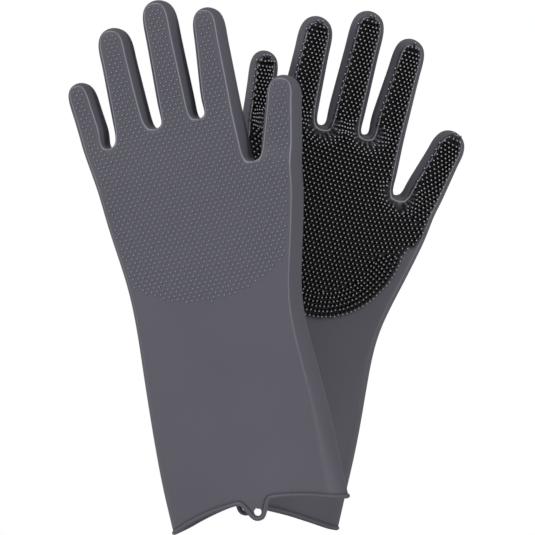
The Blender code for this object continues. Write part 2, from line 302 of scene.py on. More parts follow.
class Cage:
    """The dorsal half of the glove as a coarse quad sheet that ends at y = 0."""

    def __init__(self):
        self.bm = bmesh.new()
        self.crease = self.bm.edges.layers.float.new("crease_edge")

    def vert(self, x, z, y):
        return self.bm.verts.new((x, y, z))

    def face(self, corners, region):
        made = self.bm.faces.new(corners)
        made.material_index = region
        return made

    def strip(self, low, high, region):
        for i in range(len(low) - 1):
            self.face((low[i], high[i], high[i + 1], low[i + 1]), region)

    def sharpen(self, a, b, value):
        edge = self.bm.edges.get((a, b))
        edge[self.crease] = value


def deck_tops():
    """For each digit, its three deck points (x, z) where it leaves the hand."""
    tops = {}
    for i, digit in enumerate(DIGIT_ORDER):
        left = CROTCHES[i - 1] if i else None
        right = CROTCHES[i] if i < 4 else None
        if digit == "index":
            right = None
        if left:
            first = (left[0] + DECK_SIDE, left[1] - DECK_DROP)
        else:
            first = LITTLE_DECK
        if right:
            last = (right[0] - DECK_SIDE, right[1] - DECK_DROP)
        elif digit == "index":
            last = INDEX_DECK
        else:
            last = THUMB_DECK
        middle = (lerp(first[0], last[0], 0.5), lerp(first[1], last[1], 0.5) + 1.0)
        tops[digit] = [first, middle, last]
    return tops


def build_cage():
    cage = Cage()
    tops = deck_tops()
    fork_thumb = tops["thumb"]
    # Deck columns at the fork row: four fingers at one height, then the thumb.
    fork = []
    fork_low, fork_high = FORK_LEFT[0] + FORK_INSET, CROTCHES[3][0] - DECK_SIDE
    finger_tops = [p for d in DIGIT_ORDER[:4] for p in tops[d]]
    x_low, x_high = finger_tops[0][0], finger_tops[-1][0]
    for x, _ in finger_tops:
        share = (x - x_low) / (x_high - x_low)
        fork.append((lerp(fork_low, fork_high, share), FORK_Z - FORK_SLOPE * share))
    fork += fork_thumb
    low_ridge, high_ridge = fork[0][0], fork[-1][0]

    def out(edge, ridge):
        """Control point whose smoothed surface passes through the edge."""
        return edge + (edge - ridge) / 2

    rows = []
    for z, left, right, thick, inset, crown, sharp in BODY:
        rise = smoothstep(FORK_RISE_FROM, FORK_Z, z)
        ridge_left, ridge_right = left + inset, right - inset
        row = [cage.vert(out(left, ridge_left), z + hem_lift(left, z), 0.0)]
        for x_fork, z_fork in fork:
            u = (x_fork - low_ridge) / (high_ridge - low_ridge)
            x = lerp(ridge_left, ridge_right, u)
            height = thick * (1 - crown * abs(2 * u - 1) ** CROWN_POWER)
            row.append(cage.vert(x, z + hem_lift(x, z) + (z_fork - FORK_Z) * rise, height))
        edge_z = z + hem_lift(right, z) + (FORK_RIGHT[1] - FORK_Z) * rise
        row.append(cage.vert(out(right, ridge_right), edge_z, 0.0))
        rows.append((row, sharp))
    # The fork row carries the thumb's gap: two mid-plane points between index and thumb.
    fork_row = [cage.vert(out(FORK_LEFT[0], fork[0][0]), FORK_LEFT[1], 0.0)]
    for x, z in fork:
        fork_row.append(cage.vert(x, z, FORK_HALF_THICK))
    fork_row.append(cage.vert(out(FORK_RIGHT[0], fork[-1][0]), FORK_RIGHT[1], 0.0))
    rows.append((fork_row, RIDGE_SHARP))
    for (low, sharp), (high, _) in zip(rows, rows[1:]):
        cage.strip(low, high, 0)
        cage.sharpen(low[1], high[1], sharp)
        cage.sharpen(low[-2], high[-2], sharp)

    def gap(crotch, left_deck, right_deck):
        """The wall at the bottom of the gap between two digits."""
        x, z = crotch
        a = cage.vert(x - CROTCH_HALF, z + 1.0, 0.0)
        b = cage.vert(x + CROTCH_HALF, z + 1.0, 0.0)
        cage.face((left_deck, a, b, right_deck), 0)
        cage.sharpen(left_deck, right_deck, RIDGE_SHARP)
        return a, b

    thumb_gap = gap(CROTCHES[3], fork_row[FINGER_COLUMNS], fork_row[FINGER_COLUMNS + 1])
    # From the fork to the finger roots.
    top_row = fork_row[:FINGER_COLUMNS + 1] + [thumb_gap[0]]
    for step in (1 / 3, 2 / 3, 1.0):
        left_x = lerp(FORK_LEFT[0], KNUCKLE_LEFT[0], step)
        left_z = lerp(FORK_LEFT[1], KNUCKLE_LEFT[1], step)
        deck = [
            (lerp(a[0], b[0], step), lerp(a[1], b[1], step))
            for a, b in zip(fork[:FINGER_COLUMNS], finger_tops)
        ]
        row = [cage.vert(out(left_x, deck[0][0]), left_z, 0.0)]
        thick = lerp(FORK_HALF_THICK, ROOT_HALF_THICK, step)
        row += [cage.vert(x, z, thick) for x, z in deck]
        right_x = lerp(THUMB_GAP_SIDE, KNUCKLE_RIGHT[0], step)
        right_z = lerp(CROTCHES[3][1] + 1.0, KNUCKLE_RIGHT[1], step)
        row.append(cage.vert(out(right_x, deck[-1][0]), right_z, 0.0))
        cage.strip(top_row, row, 0)
        cage.sharpen(top_row[1], row[1], RIDGE_SHARP)
        cage.sharpen(top_row[-2], row[-2], RIDGE_SHARP)
        top_row = row
    gaps = [gap(CROTCHES[k], top_row[3 * k + 3], top_row[3 * k + 4]) for k in range(3)]
    roots = {
        "little": top_row[0:4] + [gaps[0][0]],
        "ring": [gaps[0][1]] + top_row[4:7] + [gaps[1][0]],
        "middle": [gaps[1][1]] + top_row[7:10] + [gaps[2][0]],
        "index": [gaps[2][1]] + top_row[10:14],
        "thumb": [thumb_gap[1]] + fork_row[13:17],
    }
    for digit, root in roots.items():
        add_digit(cage, digit, root)
    return cage


def add_digit(cage, digit, root):
    wide, narrow, length, end = DIGITS[digit][3:]
    radius = narrow / 2
    hinge = length - end
    start = length - radius
    stations = [DIGIT_START, hinge / 2, hinge, lerp(hinge, start, 0.5), start]
    if digit == "little":
        stations = [DIGIT_START, hinge / 2, hinge, start]
    root_region = REGIONS.index(f"{digit}_root")
    low = root
    for s in stations:
        half = digit_half_width(digit, s)
        if s == start:
            half = radius * DIGIT_END_SWELL
        deck = half - RIDGE_INSET
        high = []
        for across, y in (
            (-half - DIGIT_SIDE_OUT, 0.0),
            (-deck, DIGIT_HALF_THICK),
            (0.0, DIGIT_HALF_THICK + DIGIT_CROWN),
            (deck, DIGIT_HALF_THICK),
            (half + DIGIT_SIDE_OUT, 0.0),
        ):
            high.append(cage.vert(*digit_point(digit, across, s), y))
        region = root_region if s <= hinge / 2 else root_region + 1
        cage.strip(low, high, region)
        cage.sharpen(low[1], high[1], RIDGE_SHARP)
        cage.sharpen(low[3], high[3], RIDGE_SHARP)
        low = high
    # The round end: a ridge arc at deck height and a rim arc at y = 0.
    deck_r = ROUND * (radius - RIDGE_INSET)
    rim_r = (6 * ROUND * radius - 2 * deck_r) / 4
    deck_arc, rim_arc = [low[1]], [low[0]]
    for angle in (135.0, 90.0, 45.0):
        c, s = math.cos(math.radians(angle)), math.sin(math.radians(angle))
        point = digit_point(digit, deck_r * c, start + deck_r * s)
        deck_arc.append(cage.vert(*point, DIGIT_HALF_THICK - DIGIT_END_DIP))
        rim_arc.append(cage.vert(*digit_point(digit, rim_r * c, start + rim_r * s), 0.0))
    deck_arc.append(low[3])
    rim_arc.append(low[4])
    region = root_region + 1
    for i in range(4):
        cage.face((rim_arc[i], rim_arc[i + 1], deck_arc[i + 1], deck_arc[i]), region)
        cage.sharpen(deck_arc[i], deck_arc[i + 1], RIDGE_SHARP)
    cage.face((low[1], deck_arc[1], deck_arc[2], low[2]), region)
    cage.face((low[2], deck_arc[2], deck_arc[3], low[3]), region)


def activate(piece):
    bpy.ops.object.select_all(action="DESELECT")
    piece.select_set(True)
    bpy.context.view_layer.objects.active = piece


def apply_modifier(piece, kind, **settings):
    activate(piece)
    modifier = piece.modifiers.new(kind.lower(), kind)
    for key, value in settings.items():
        setattr(modifier, key, value)
    bpy.ops.object.modifier_apply(modifier=modifier.name)


def new_piece(name, mesh):
    piece = bpy.data.objects.new(name, mesh)
    bpy.context.scene.collection.objects.link(piece)
    return piece


def glove_skin():
    """The whole outer skin, in millimetres, with the hang tab below its hem."""
    cage = build_cage()
    mesh = bpy.data.meshes.new("skin")
    cage.bm.to_mesh(mesh)
    cage.bm.free()
    skin = new_piece("skin", mesh)
    for region in REGIONS:
        mesh.materials.append(bpy.data.materials.new(region))
    apply_modifier(
        skin, "MIRROR", use_axis=(False, True, False), merge_threshold=0.0001,
        use_mirror_merge=True,
    )
    apply_modifier(skin, "SUBSURF", levels=SUBDIVISIONS, render_levels=SUBDIVISIONS)
    activate(skin)
    bpy.ops.object.mode_set(mode="EDIT")
    bpy.ops.mesh.select_all(action="SELECT")
    bpy.ops.mesh.normals_make_consistent(inside=False)
    bpy.ops.object.mode_set(mode="OBJECT")
    bm = bmesh.new()
    bm.from_mesh(mesh)
    draw_tab(bm)
    for vert in bm.verts:
        vert.co.z += BACK_RISE * max(0.0, vert.co.y) * smoothstep(*BACK_RISE_SPAN, vert.co.z)
    bm.to_mesh(mesh)
    bm.free()
    return skin


# ---- The hem and its hang tab ----
def tab_share(x):
    """How far the hem dips to the tab's lowest point: a gentle left side, a steep right."""
    return smoothstep(*TAB_LEFT, x - TAB_X) * (1.0 - smoothstep(*TAB_RIGHT, x - TAB_X))


def draw_tab(bm):
    """Draw the hem down at the back of the hand, and open the hole it hangs by."""
    rim = [v for v in bm.verts if v.is_boundary and v.co.y > 0]
    rim = [v for v in rim if abs(v.co.x - TAB_X) < TAB_REACH]
    rim.sort(key=lambda v: v.co.x)
    columns = []
    for vert in rim:
        drop = TAB_DROP * tab_share(vert.co.x)
        column = [vert] * (TAB_ROWS + 1)
        if drop > 0.05:
            for k in range(1, TAB_ROWS + 1):
                column[k] = bm.verts.new(vert.co - Vector((0.0, 0.0, drop * k / TAB_ROWS)))
        columns.append(column)
    for left, right in zip(columns, columns[1:]):
        for k in range(TAB_ROWS):
            corners = list(dict.fromkeys((left[k], left[k + 1], right[k + 1], right[k])))
            if len(corners) > 2:
                bm.faces.new(corners)
    hole_x, hole_z = TAB_HOLE
    inside = []
    for face in bm.faces:
        centre = face.calc_center_median()
        if centre.y > 0 and math.hypot(centre.x - hole_x, centre.z - hole_z) < TAB_HOLE_R:
            inside.append(face)
    ring = {v for face in inside for v in face.verts}
    bmesh.ops.delete(bm, geom=inside, context="FACES")
    for vert in ring:
        if vert.is_valid:
            away = Vector((vert.co.x - hole_x, 0.0, vert.co.z - hole_z)).normalized()
            vert.co.x = hole_x + away.x * TAB_HOLE_R
            vert.co.z = hole_z + away.z * TAB_HOLE_R
    bm.normal_update()
    bmesh.ops.recalc_face_normals(bm, faces=bm.faces)


def hem_loop(skin):
    """Points along the hem, evenly spaced, set in to the middle of the wall."""
    bm = bmesh.new()
    bm.from_mesh(skin.data)
    start = min((v for v in bm.verts if v.is_boundary), key=lambda v: v.co.x)
    loop, last = [start], None
    while True:
        nearby = []
        for edge in loop[-1].link_edges:
            other = edge.other_vert(loop[-1])
            if edge.is_boundary and other is not last:
                nearby.append(other)
        last = loop[-1]
        if not nearby or nearby[0] is start:
            break
        loop.append(nearby[0])
    points = []
    for vert in loop:
        inward = Vector((vert.normal.x, vert.normal.y, 0.0)).normalized()
        points.append(vert.co - inward * BEAD_INSET)
    bm.free()
    return even_loop(points, BEAD_STEP)


def even_loop(points, step):
    """The same closed line, smoothed and cut into equal steps."""
    for _ in range(BEAD_SMOOTHINGS):
        count = len(points)
        points = [
            (points[i - 1] + points[i] * 2 + points[(i + 1) % count]) / 4 for i in range(count)
        ]
    lengths = [(points[(i + 1) % len(points)] - p).length for i, p in enumerate(points)]
    total = sum(lengths)
    count = round(total / step)
    even, walked, i = [], 0.0, 0
    for k in range(count):
        goal = total * k / count
        while walked + lengths[i] < goal:
            walked += lengths[i]
            i += 1
        share = (goal - walked) / lengths[i]
        even.append(points[i].lerp(points[(i + 1) % len(points)], share))
    return even


def hem_roll(points):
    """The rolled bead along the hem and round the tab."""
    curve = bpy.data.curves.new("hem_roll", "CURVE")
    curve.dimensions = "3D"
    curve.bevel_depth = BEAD_RADIUS
    curve.bevel_resolution = 4
    spline = curve.splines.new("POLY")
    spline.points.add(len(points) - 1)
    spline.use_cyclic_u = True
    for target, point in zip(spline.points, points):
        target.co = (*point, 1.0)
    roll = new_piece("hem_roll", curve)
    activate(roll)
    bpy.ops.object.convert(target="MESH")
    return bpy.context.view_layer.objects.active


# ---- Bristles and grip dots ----
def lathe(profile, sides):
    """A small turned peg: rings of (radius, height), closed by a point at its top."""
    verts, faces = [], []
    for radius, height in profile[:-1]:
        for i in range(sides):
            angle = math.tau * i / sides
            verts.append(Vector((radius * math.cos(angle), radius * math.sin(angle), height)))
    verts.append(Vector((0.0, 0.0, profile[-1][1])))
    rings = len(profile) - 1
    for ring in range(rings - 1):
        for i in range(sides):
            j = (i + 1) % sides
            a, b = ring * sides + i, ring * sides + j
            faces.append((a, b, b + sides, a + sides))
    top = (rings - 1) * sides
    for i in range(sides):
        faces.append((top + i, top + (i + 1) % sides, len(verts) - 1))
    return verts, faces


def scatter(name, peg, places):
    """One mesh with a copy of the peg at every (foot, direction, size, light)."""
    peg_verts, peg_faces = peg
    tall = peg_verts[-1].z
    verts, faces, reach, open_to_light = [], [], [], []
    for foot, direction, size, light in places:
        turn = direction.to_track_quat("Z", "Y")
        base = len(verts)
        for v in peg_verts:
            verts.append(foot + turn @ (v * size))
            reach.append(max(0.0, v.z / tall))
            open_to_light.append(light)
        faces += [tuple(base + i for i in face) for face in peg_faces]
    mesh = bpy.data.meshes.new(name)
    mesh.from_pydata(verts, [], faces)
    for label, values in (("reach", reach), ("open_to_light", open_to_light)):
        attribute = mesh.attributes.new(label, "FLOAT", "POINT")
        attribute.data.foreach_set("value", values)
    mesh.shade_smooth()
    return new_piece(name, mesh)


def on_digit(digit, x, z):
    """A point's own across and along on a digit, from the glove's x and z."""
    tip_x, tip_z, lean = DIGITS[digit][:3]
    angle = math.radians(lean)
    dx, dz = x - tip_x, z - tip_z
    across = dx * math.cos(angle) - dz * math.sin(angle)
    along = DIGITS[digit][5] + dx * math.sin(angle) + dz * math.cos(angle)
    return across, along


def in_hand(x, z):
    """Digit whose own rows hold this point, or None on the palm."""
    for digit in DIGIT_ORDER:
        across, along = on_digit(digit, x, z)
        half = digit_half_width(digit, along)
        if along > FINGER_ROWS_FROM[digit] and abs(across) < half + 1.0:
            return digit
    return None


def fan_of(x, z):
    """How a digit's bristle fans out, to the tip and to the little finger's side."""
    digit = in_hand(x, z)
    if digit is None:
        return Vector((0.0, 0.0))
    across, along = on_digit(digit, x, z)
    length = DIGITS[digit][5]
    to_tip = FAN_TIP * smoothstep(*FAN_TIP_SPAN, length - along)
    aside = FAN_SIDE * min(0.0, across / digit_half_width(digit, along))
    aside *= smoothstep(*FAN_SIDE_SPAN, along)
    angle = math.radians(DIGITS[digit][2])
    return Vector((
        aside * math.cos(angle) + to_tip * math.sin(angle),
        to_tip * math.cos(angle) - aside * math.sin(angle),
    ))


def field_radius(x, z):
    """Distance from the palm field's centre, with its narrow axis stretched to match."""
    return math.hypot((x - FIELD_CENTRE[0]) / FIELD_NARROW, z - FIELD_CENTRE[1])


def palm_spots():
    """Feet of the palm's bristles: arcs along the lower edge, staggered rows inside."""
    spots = []
    centre_x, centre_z = FIELD_CENTRE
    radius = FIELD_RADIUS
    for ring in range(FIELD_RINGS):
        pitch = BRISTLE_PITCH / radius
        count = math.floor(math.radians(FIELD_SWEEP) / pitch)
        for i in range(count + 1):
            angle = math.radians(270.0) + pitch * (i - count / 2 + 0.5 * (ring % 2))
            x = centre_x + FIELD_NARROW * radius * math.cos(angle)
            z = centre_z + radius * math.sin(angle)
            if z < FIELD_SIDE_Z:
                spots.append((x, z))
        radius -= BRISTLE_ROW
    inner = radius + BRISTLE_ROW * 0.5
    row = 0
    level = centre_z - inner - FIELD_START_DROP
    while level < FIELD_TOP_Z:
        for i in range(-FIELD_COLUMNS, FIELD_COLUMNS + 1):
            x = centre_x + BRISTLE_PITCH * (i + 0.5 * (row % 2))
            z = level + ROW_BOW * (x - centre_x) ** 2
            if z >= FIELD_SIDE_Z or field_radius(x, z) < inner:
                spots.append((x, z))
        level += BRISTLE_ROW
        row += 1
    return [s for s in spots if in_hand(*s) is None]


def digit_spots(digit):
    """Feet of a digit's bristles: rows of six and seven in turn, from ridge to ridge."""
    length = DIGITS[digit][5]
    spots = []
    row = 0
    along = FINGER_ROWS_FROM[digit] + 0.5 * DIGIT_ROW
    while along < length:
        pitch = (digit_half_width(digit, along) - RIDGE_INSET) / 3.0
        count = 7 - row % 2
        for i in range(count):
            across = (i - (count - 1) / 2) * pitch
            spots.append(digit_point(digit, across - ROW_OFFSET, along))
        along += DIGIT_ROW
        row += 1
    return spots


def lean_of(x, z):
    """How a bristle leans in x and z, and how much painted light that gives it."""
    lean = fan_of(x, z)
    light = min(FAN_LIGHT, lean.length)
    for crotch_x, crotch_z in CROTCHES:
        away = Vector((x - crotch_x, z - (crotch_z + CROTCH_RISE)))
        if away.length < STAR_REACH and away.y < STAR_TOP:
            share = 1.0 - away.length / STAR_REACH
            lean += away.normalized() * STAR_LEAN * share
            light = max(light, share * STAR_LIGHT)
    depth = FIELD_RADIUS - field_radius(x, z)
    if z < FIELD_CENTRE[1] and depth < EDGE_DEPTH:
        out = Vector((x - FIELD_CENTRE[0], z - FIELD_CENTRE[1])).normalized()
        share = (1.0 - max(0.0, depth) / EDGE_DEPTH) ** 2
        lean += out * EDGE_LEAN * share
        light = max(light, share * EDGE_LIGHT)
    return lean, min(1.0, light)


class Surface:
    """The glove's outer skin, to find where a peg stands on it."""

    def __init__(self, skin):
        mesh = skin.data
        verts = [v.co.copy() for v in mesh.vertices]
        faces = [tuple(p.vertices) for p in mesh.polygons]
        self.tree = BVHTree.FromPolygons(verts, faces)
        self.regions = [REGIONS[p.material_index] for p in mesh.polygons]

    def drop(self, x, z, side):
        """Where a line along y meets the palm (side -1) or the back (side 1)."""
        start = Vector((x, side * CLEAR_OF_SKIN, z))
        place, normal, index, _ = self.tree.ray_cast(start, Vector((0.0, -side, 0.0)))
        if place is None:
            return None
        if normal.y * side < 0:
            normal = -normal
        return place, normal, self.regions[index]

    def faces(self, x, z, side, least):
        """Whether the skin here looks straight out of the palm or the back."""
        found = self.drop(x, z, side)
        return bool(found) and found[1].y * side > least


def bristle_places(surface):
    """Places of all bristles, by the region of skin that each stands on."""
    noise.seed_set(WOBBLE_SEED)
    places = {region: [] for region in REGIONS}
    spots = [s for s in palm_spots() if on_palm_field(*s)]
    for digit in DIGIT_ORDER:
        spots += digit_spots(digit)
    for x, z in spots:
        wobble = noise.noise_vector(Vector((x, z, 0.0)) * WOBBLE_SCALE)
        x += wobble.x * SPOT_WOBBLE
        z += wobble.y * SPOT_WOBBLE
        if not all(surface.faces(x - m, z, -1, BRISTLE_FACING) for m in BRISTLE_MARGINS):
            continue
        found = surface.drop(x, z, -1)
        if not found:
            continue
        place, normal, region = found
        lean, light = lean_of(x, z)
        direction = (normal + Vector((lean.x, 0.0, lean.y))).normalized()
        size = 1.0 + SIZE_WOBBLE * wobble.z
        places[region].append((place, direction, size, light))
    return places


def on_palm_field(x, z):
    """Inside the palm's bristle field and clear of the ridges between the digits."""
    if z < FIELD_SIDE_Z:
        return field_radius(x, z) < FIELD_RADIUS + 0.1
    half = FIELD_RADIUS * FIELD_NARROW + FIELD_SPREAD * (z - FIELD_SIDE_Z)
    if abs(x - FIELD_CENTRE[0]) > half:
        return False
    return all(math.hypot(x - c[0], z - (c[1] + CROTCH_RISE)) > STAR_CLEAR for c in CROTCHES)


def dot_places(surface):
    """Places of the grip dots on the back, in staggered rows."""
    places = {region: [] for region in REGIONS}
    row = 0
    z = DOT_CENTRE[1] - DOT_RADIUS
    while z < DOT_TOP_Z:
        for i in range(*DOT_COLUMNS):
            x = DOT_PITCH * (i + 0.5 * (row % 2))
            low = math.hypot(x - DOT_CENTRE[0], z - DOT_CENTRE[1])
            if z < DOT_CENTRE[1] and low > DOT_RADIUS:
                continue
            if not all(surface.faces(x + m, z, 1, DOT_FACING) for m in DOT_MARGINS):
                continue
            place, normal, region = surface.drop(x, z, 1)
            places[region].append((place, normal, 1.0, 0.0))
        z += DOT_ROW
        row += 1
    return places


# ---- Finishing a glove ----
def shade_field(skin, places):
    """Mark the skin between the bristles, where hardly any light reaches, for painted shade."""
    feet = [spot[0] for group in places.values() for spot in group]
    tree = KDTree(len(feet))
    for i, foot in enumerate(feet):
        tree.insert(foot, i)
    tree.balance()
    values = []
    for vert in skin.data.vertices:
        distance = tree.find(vert.co)[2]
        values.append(1.0 - smoothstep(*FIELD_SHADE, distance))
    attribute = skin.data.attributes.new("field", "FLOAT", "POINT")
    attribute.data.foreach_set("value", values)


def shade_crease(skin, roll_points):
    """Mark the skin beside the hem's bead, where the two meet in a crease, for painted shade."""
    tree = KDTree(len(roll_points))
    for i, point in enumerate(roll_points):
        tree.insert(point, i)
    tree.balance()
    values = []
    for vert in skin.data.vertices:
        values.append(1.0 - smoothstep(*CREASE_REACH, tree.find(vert.co)[2]))
    attribute = skin.data.attributes.new("crease", "FLOAT", "POINT")
    attribute.data.foreach_set("value", values)


def mark_ridges(skin):
    """Mark the creased lines of the skin for a painted highlight along their length."""
    bm = bmesh.new()
    bm.from_mesh(skin.data)
    crease = bm.edges.layers.float["crease_edge"]
    shares = []
    for vert in bm.verts:
        sharp = max(edge[crease] for edge in vert.link_edges) / RIDGE_SHARP
        shares.append(sharp * smoothstep(*RIDGE_FADE, vert.co.z))
    bm.free()
    attribute = skin.data.attributes.new("ridge", "FLOAT", "POINT")
    attribute.data.foreach_set("value", shares)


def split_by_region(skin):
    """One skin for the hand and one for each half of each digit."""
    activate(skin)
    bpy.ops.object.mode_set(mode="EDIT")
    bpy.ops.mesh.select_all(action="SELECT")
    bpy.ops.mesh.separate(type="MATERIAL")
    bpy.ops.object.mode_set(mode="OBJECT")
    skins = {}
    for piece in bpy.context.selected_objects:
        skins[piece.material_slots[0].name] = piece
    return skins


def finish_skin(skin, dots):
    """Give a skin its wall and join its grip dots to it."""
    skin.data.materials.clear()
    apply_modifier(skin, "SOLIDIFY", thickness=WALL, offset=-1.0, use_rim=True)
    activate(skin)
    bpy.ops.object.shade_smooth_by_angle(angle=math.radians(SMOOTH_ANGLE))
    if dots:
        studs = scatter("dots", lathe(DOT_PROFILE, DOT_SIDES), dots)
        activate(studs)
        skin.select_set(True)
        bpy.context.view_layer.objects.active = skin
        bpy.ops.object.join()
    return skin


def glove_pieces():
    """Every piece of a right glove, with the piece's name as the key."""
    skin = glove_skin()
    roll_points = hem_loop(skin)
    pieces = {"hem_roll": hem_roll(roll_points)}
    surface = Surface(skin)
    bristles = bristle_places(surface)
    dots = dot_places(surface)
    shade_field(skin, bristles)
    shade_crease(skin, roll_points)
    mark_ridges(skin)
    peg = lathe(BRISTLE_PROFILE, BRISTLE_SIDES)
    for region, piece in split_by_region(skin).items():
        pieces[f"{region}_skin"] = finish_skin(piece, dots[region])
        name = "palm_bristle_field" if region == "hand" else f"{region}_bristle_rows"
        pieces[name] = scatter(name, peg, bristles[region])
    return pieces


def drape_hem(mesh):
    """Let the mouth of a soft cuff sag: the palm side most, the back a little and aside."""
    for vert in mesh.vertices:
        share = mouth_share(vert.co.z)
        vert.co.x += MOUTH_PINCH * share * smoothstep(*PINCH_SPAN, vert.co.x)
        if vert.co.y < 0.0:
            vert.co.z -= hem_height(vert.co.x, HEM_DRAPE) * share
        else:
            vert.co.z -= hem_height(vert.co.x, BACK_DRAPE) * share
            vert.co.x -= hem_height(vert.co.x, BACK_SWING) * share


def glove_matrix(side):
    location, yaw, lean = PLACES[side]
    turn = Matrix.Rotation(math.radians(lean), 4, "Y")
    turn = turn @ Matrix.Rotation(math.radians(yaw), 4, "Z")
    return Matrix.Translation(Vector(location) * MM) @ turn


def place_piece(name, source, side, finish):
    """A copy of a piece on one hand, in metres and in its place."""
    piece = new_piece(f"{side}_{name}", source.data.copy())
    if side == "right":
        drape_hem(piece.data)
    else:
        activate(piece)
        piece.data.transform(Matrix.Diagonal((1.0, -1.0, 1.0, 1.0)))
        piece.data.flip_normals()
    piece.data.transform(glove_matrix(side) @ Matrix.Scale(MM, 4))
    piece.data.materials.clear()
    piece.data.materials.append(finish)
    return piece


def joint_at(name):
    for joint in frame["joints"]:
        if joint["name"] == name:
            return Vector(joint["pos_m"])
    raise ValueError(f"no joint is named {name}")


def bend_skin(piece, side, digit, segment):
    """Let a digit's piece turn smoothly with the hinge at its lower end."""
    root, tip = joint_at(f"{side}_{digit}_knuckle"), joint_at(f"{side}_{digit}_mid")
    along = (tip - root).normalized() * MM
    if segment == "root":
        start, end = root - along * KNUCKLE_BELOW, root + along * KNUCKLE_ABOVE
        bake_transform(piece, f"{side}_hand", f"{side}_{digit}_root", start=start, end=end)
    else:
        start, end = tip - along * MIDDLE_HALF, tip + along * MIDDLE_HALF
        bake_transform(piece, f"{side}_{digit}_root", f"{side}_{digit}_tip", start=start, end=end)


def dress_hand(side, pieces, silicone, bristle):
    """Place one glove's pieces, tie them to its bodies and hide the parts they stand in for."""
    skin = place_piece("hand_skin", pieces["hand_skin"], side, silicone)
    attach(skin, f"{side}_hand")
    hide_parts(f"{side}_cuff", f"{side}_hand_shell", f"{side}_hang_tab")
    roll = place_piece("hem_roll", pieces["hem_roll"], side, silicone)
    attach(roll, f"{side}_hand")
    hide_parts(f"{side}_hem_bead")
    field_source = pieces["palm_bristle_field"]
    field = place_piece("palm_bristle_field", field_source, side, bristle)
    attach(field, f"{side}_hand")
    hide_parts(f"{side}_palm_bristles")
    for digit in DIGIT_ORDER:
        for segment in ("root", "tip"):
            part = f"{digit}_{segment}"
            sleeve = place_piece(f"{part}_skin", pieces[f"{part}_skin"], side, silicone)
            bend_skin(sleeve, side, digit, segment)
            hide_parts(f"{side}_{part}_sleeve")
            rows_source = pieces[f"{part}_bristle_rows"]
            rows = place_piece(f"{part}_bristle_rows", rows_source, side, bristle)
            bend_skin(rows, side, digit, segment)
            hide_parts(f"{side}_{part}_bristles")


# ---- Finishes ----
def link(tree, start, output, end, socket):
    tree.links.new(start.outputs[output], end.inputs[socket])


def moulding_group():
    """Soft mottling and a fine matt bump for moulded silicone."""
    group = bpy.data.node_groups.new("moulded_matt", "ShaderNodeTree")
    face = group.interface
    face.new_socket("Tone", in_out="INPUT", socket_type="NodeSocketColor")
    face.new_socket("Mottle", in_out="INPUT", socket_type="NodeSocketFloat")
    face.new_socket("Roughness", in_out="INPUT", socket_type="NodeSocketFloat")
    face.new_socket("Color", in_out="OUTPUT", socket_type="NodeSocketColor")
    face.new_socket("Roughness", in_out="OUTPUT", socket_type="NodeSocketFloat")
    face.new_socket("Height", in_out="OUTPUT", socket_type="NodeSocketFloat")
    given = group.nodes.new("NodeGroupInput")
    result = group.nodes.new("NodeGroupOutput")
    place = group.nodes.new("ShaderNodeTexCoord")
    clouds = group.nodes.new("ShaderNodeTexNoise")
    clouds.inputs["Scale"].default_value = MOTTLE_SCALE
    clouds.inputs["Detail"].default_value = 3.0
    link(group, place, "Object", clouds, "Vector")
    centred = group.nodes.new("ShaderNodeMath")
    centred.operation = "SUBTRACT"
    centred.inputs[1].default_value = 0.5
    link(group, clouds, "Fac", centred, 0)
    swing = group.nodes.new("ShaderNodeMath")
    swing.operation = "MULTIPLY_ADD"
    swing.inputs[2].default_value = 1.0
    link(group, centred, "Value", swing, 0)
    link(group, given, "Mottle", swing, 1)
    tint = group.nodes.new("ShaderNodeVectorMath")
    tint.operation = "SCALE"
    link(group, given, "Tone", tint, 0)
    link(group, swing, "Value", tint, "Scale")
    link(group, tint, "Vector", result, "Color")
    rough = group.nodes.new("ShaderNodeMath")
    rough.operation = "MULTIPLY"
    link(group, given, "Roughness", rough, 0)
    link(group, swing, "Value", rough, 1)
    link(group, rough, "Value", result, "Roughness")
    grain = group.nodes.new("ShaderNodeTexNoise")
    grain.inputs["Scale"].default_value = GRAIN_SCALE
    grain.inputs["Detail"].default_value = 2.0
    link(group, place, "Object", grain, "Vector")
    link(group, grain, "Fac", result, "Height")
    return group


def moulded_material(name, group, tone, mottle, roughness, bump):
    """A material with the moulded finish; returns it with its shader and group node."""
    material = bpy.data.materials.new(name)
    material.use_nodes = True
    tree = material.node_tree
    shader = tree.nodes["Principled BSDF"]
    finish = tree.nodes.new("ShaderNodeGroup")
    finish.node_tree = group
    finish.inputs["Tone"].default_value = (*tone, 1.0)
    finish.inputs["Mottle"].default_value = mottle
    finish.inputs["Roughness"].default_value = roughness
    link(tree, finish, "Color", shader, "Base Color")
    link(tree, finish, "Roughness", shader, "Roughness")
    relief = tree.nodes.new("ShaderNodeBump")
    relief.inputs["Strength"].default_value = bump
    relief.inputs["Distance"].default_value = GRAIN_DEPTH
    link(tree, finish, "Height", relief, "Height")
    link(tree, relief, "Normal", shader, "Normal")
    return material, shader, finish


def mix_by_attribute(tree, finish_output, attribute, colour, low, high):
    """Turn a colour into another where a stored attribute rises from low to high."""
    stored = tree.nodes.new("ShaderNodeAttribute")
    stored.attribute_name = attribute
    span = tree.nodes.new("ShaderNodeMapRange")
    span.inputs["From Min"].default_value = low
    span.inputs["From Max"].default_value = high
    link(tree, stored, "Fac", span, "Value")
    mix = tree.nodes.new("ShaderNodeMix")
    mix.data_type = "RGBA"
    mix.inputs["B"].default_value = (*colour, 1.0)
    tree.links.new(span.outputs["Result"], mix.inputs["Factor"])
    tree.links.new(finish_output, mix.inputs["A"])
    return mix.outputs["Result"]


